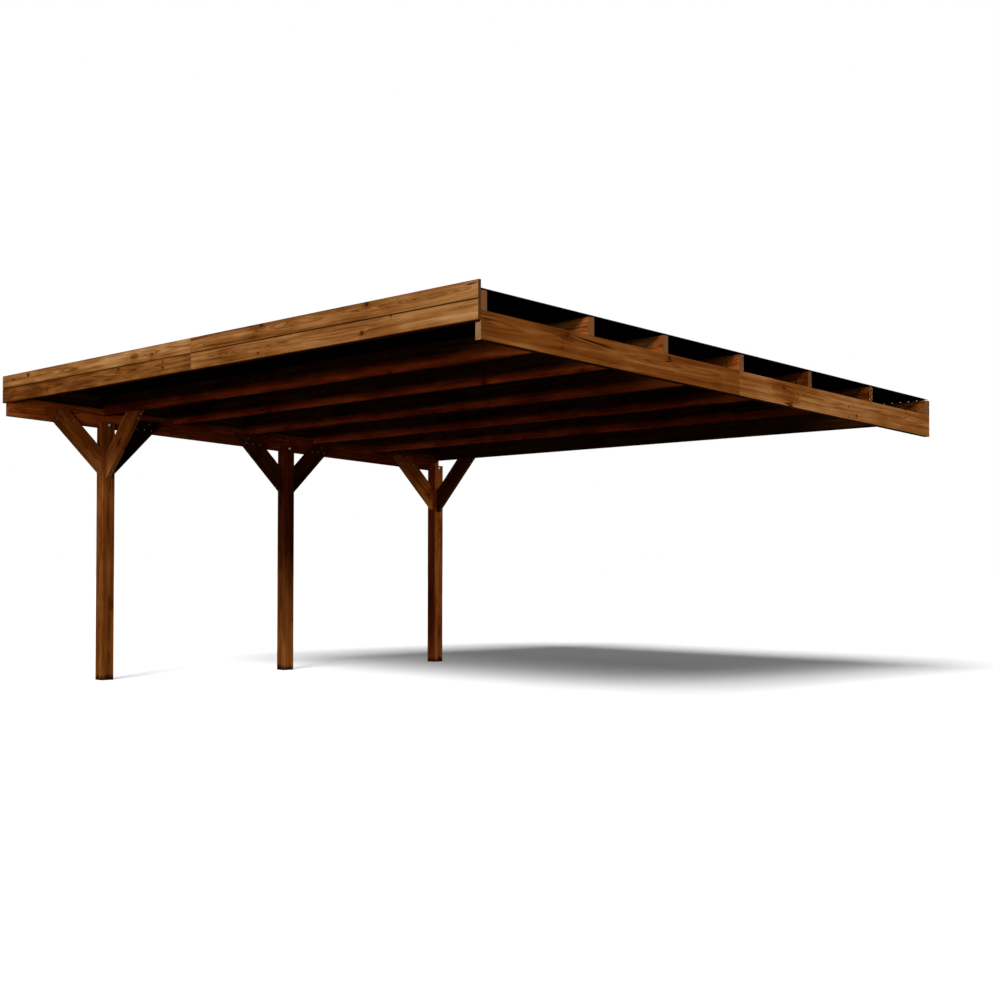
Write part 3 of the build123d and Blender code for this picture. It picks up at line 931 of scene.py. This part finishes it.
def make_world():
    """White to the eye; as light, an overcast sky with nothing from below."""
    world = bpy.data.worlds.new("studio")
    scene.world = world
    world.use_nodes = True
    graph = Graph(world.node_tree)
    height = graph.split(graph.node("ShaderNodeTexCoord").outputs["Generated"])["Z"]
    sky = graph.node("ShaderNodeMapRange", {"Value": height, "To Min": 0.014, "To Max": 0.44}).outputs[0]
    strength = graph.times(sky, graph.between(height, -0.03, 0.0))
    light = graph.shader("ShaderNodeBackground", {"Strength": strength})
    white = graph.shader("ShaderNodeBackground", {"Color": (1, 1, 1, 1), "Strength": 1.0})
    both = graph.node("ShaderNodeMixShader", {"Fac": background_ray(graph)})
    graph.feed(both.inputs[1], light)
    graph.feed(both.inputs[2], white)
    graph.feed(graph.node("ShaderNodeOutputWorld").inputs["Surface"], both.outputs[0])


FLOOR_HALF = 150.0        # far enough for its edge to meet the white world
FLOOR_GAP = 0.0005


def make_floor():
    """Pale to the eye; as light, dim, so that it doesn't brighten the roof's underside."""
    half = FLOOR_HALF
    z = GROUND - FLOOR_GAP
    mesh = bpy.data.meshes.new("floor")
    corners = [(-half, -half, z), (half, -half, z), (half, half, z), (-half, half, z)]
    mesh.from_pydata(corners, [], [(0, 1, 2, 3)])
    floor = bpy.data.objects.new("floor", mesh)
    scene.collection.objects.link(floor)
    material, graph = new_material("floor")
    pale = graph.shader("ShaderNodeBsdfDiffuse", {"Color": (0.75, 0.75, 0.75, 1)})
    dim = graph.shader("ShaderNodeBsdfDiffuse", {"Color": (0.025, 0.025, 0.025, 1)})
    clear = graph.shader("ShaderNodeBsdfTransparent", {})
    seen = graph.node("ShaderNodeMixShader", {"Fac": background_ray(graph)})
    graph.feed(seen.inputs[1], dim)
    graph.feed(seen.inputs[2], pale)
    from_below = graph.node("ShaderNodeNewGeometry").outputs["Backfacing"]
    under = graph.node("ShaderNodeMixShader", {"Fac": from_below})
    graph.feed(under.inputs[1], seen.outputs[0])
    graph.feed(under.inputs[2], clear)
    graph.feed(graph.node("ShaderNodeOutputMaterial").inputs["Surface"], under.outputs[0])
    mesh.materials.append(material)
    floor.visible_shadow = False
    return floor


def gather(title, things):
    group = bpy.data.collections.new(title)
    for thing in things:
        group.objects.link(thing)
    return group


def add_lamp(lamp, turn, lit, shaded_by=None):
    """Places a lamp that lights the lit things alone, and is unseen itself."""
    holder = bpy.data.objects.new(lamp.name, lamp)
    holder.matrix_world = turn
    holder.visible_camera = False
    scene.collection.objects.link(holder)
    holder.light_linking.receiver_collection = gather(lamp.name + "_lights", lit)
    if shaded_by:
        holder.light_linking.blocker_collection = gather(lamp.name + "_shades", shaded_by)


def sun(name, towards, level, angle, lit, colour=(1, 1, 1), shaded_by=None):
    """Soft lamp that shines from a direction. level is how bright it makes a white face turned to it."""
    lamp = bpy.data.lights.new(name, "SUN")
    lamp.energy = level * math.pi
    lamp.angle = math.radians(angle)
    lamp.color = colour
    turn = Vector(towards).to_track_quat("Z", "Y").to_matrix().to_4x4()
    add_lamp(lamp, turn, lit, shaded_by)


def area_lamp(name, place, target, width, height, watts, colour, lit):
    """Softbox at a place, facing a target."""
    lamp = bpy.data.lights.new(name, "AREA")
    lamp.shape = "RECTANGLE"
    lamp.size, lamp.size_y = width, height
    lamp.energy = watts
    lamp.color = colour
    place = Vector(place)
    turn = (place - Vector(target)).to_track_quat("Z", "Y").to_matrix().to_4x4()
    add_lamp(lamp, Matrix.Translation(place) @ turn, lit)


def pick(*starts):
    """The CAD pieces whose names start so."""
    return [NODES[name] for name in named(*starts)]


def make_lights(floor, pieces):
    """Lamps for the floor, for the whole carport, for the rafters, and for the shaded timber."""
    shown = list(NODES.values()) + pieces
    open_braces = pick("brace_near_uphill", "brace_middle_", "brace_far_", "cross_")
    framing = open_braces + pick("post_", "purlin_") + pieces
    near = pick("post_near", "brace_near_uphill", "cross_brace_near", "purlin_near")
    rafters = pick("rafter_")
    eaves = rafters + pick("near_fascia_")
    shelter = [thing for thing in shown if thing not in pick("post_")]
    red, deep_red, warm = (1.0, 0.38, 0.30), (1.0, 0.20, 0.20), (1.0, 0.72, 0.50)

    # Posts shade only part of the soft light on the floor, so that nothing goes black at their feet.
    skyward = (-0.827, -0.318, 0.463)
    sun("floor_soft", skyward, 1.60, 16, [floor], shaded_by=shelter)
    sun("floor_posts", skyward, 0.45, 16, [floor])
    sun("floor_crisp", (-0.727, -0.509, 0.461), 0.78, 12, [floor])

    # Three suns for the whole carport.
    sun("key", (-0.74, -0.51, 0.46), 1.12, 18, shown)
    sun("right", (0.62, -0.62, 0.48), 0.62, 20, shown)
    sun("back", (0.70, 0.62, 0.36), 0.45, 30, shown)

    # Over the wall beam, onto the rafters' ends.
    sun("over_beam", (-0.60, -0.78, 0.15), 0.29, 14, rafters)

    # Low light along the fall. Only rafters and a fascia stop it, so each rafter shades the next one.
    uphill = (-1.0, -0.05, -0.016)
    sun("eaves_near", uphill, 0.25, 4.5, rafters[:3], red, eaves)
    sun("eaves_far", uphill, 0.175, 4.2, rafters[3:6], red, eaves)
    sun("eaves_behind", (1.0, -0.05, -0.10), 0.16, 5, rafters, red, rafters + pick("far_fascia_"))

    # Faint light and softboxes for the timber that the suns hardly reach.
    sun("inside", (-0.6, -0.8, -0.03), 0.13, 12, pick("purlin_", "post_far"), red)
    sun("dusk", (-0.7, -0.7, -0.03), 0.09, 12, pick("post_middle", "post_far"), deep_red)
    area_lamp("strip", (-3.9, 2.6, 0.0), (0.0, 2.6, 0.0), 4.5, 0.3, 20.0, (1.0, 0.55, 0.34), framing)
    area_lamp("near_corner", (-4.2, 4.2, -0.1), (-1.9, 6.0, -0.1), 0.8, 0.6, 34.0, warm, near)
    area_lamp("far_brace", (2.3, 5.6, -1.1), (2.25, 6.0, -0.5), 0.3, 0.3, 4.8, warm, pick("brace_far_uphill"))
    area_lamp("far_post", (3.6, 4.4, -0.6), (2.1, 6.0, -0.3), 0.8, 0.6, 6.0, warm, pick("post_far"))


# --- build ---
scene.view_settings.view_transform = "Standard"
make_camera()
make_world()
floor = make_floor()

lay_all_grain()
finishes = {
    "fascia_timber": make_timber("fascia_timber", HONEY, BROWN_ENDS, ring_depth=0.22),
    "beam_timber": make_timber("beam_timber", BEAM, PALE_ENDS, ring_depth=0.20),
    "post_timber": make_timber("post_timber", POST, SAWN_ENDS, wet_foot=0.075),
    "rafter_timber": make_timber("rafter_timber", RAFTER, SAWN_ENDS),
    "roof_sheet": make_sheet_material(),
}
SLOT_OF = {
    "post_": "post_timber",
    "brace_": "post_timber",
    "cross_": "post_timber",
    "rafter_": "rafter_timber",
    "purlin_": "rafter_timber",
    "wall_": "beam_timber",
    "near_": "fascia_timber",
    "side_": "fascia_timber",
    "far_": "fascia_timber",
    "roof_": "roof_sheet",
}
for start, slot_name in SLOT_OF.items():
    for name in named(start):
        for slot in NODES[name].material_slots:
            slot.material = finishes[slot_name]

zinc = make_steel("zinc_plate", (0.36, 0.37, 0.38), (0.74, 0.74, 0.72))
coated = make_steel("coated_screw", (0.10, 0.09, 0.08), (0.26, 0.24, 0.22))
pieces = [add_tongue_bolts(zinc), add_long_brace_screws(coated), add_cross_brace_screws(coated)]
rubber = make_cap_material()
pieces += add_roof_caps(rubber)
pieces.append(add_edge_seal(rubber))
make_lights(floor, pieces)
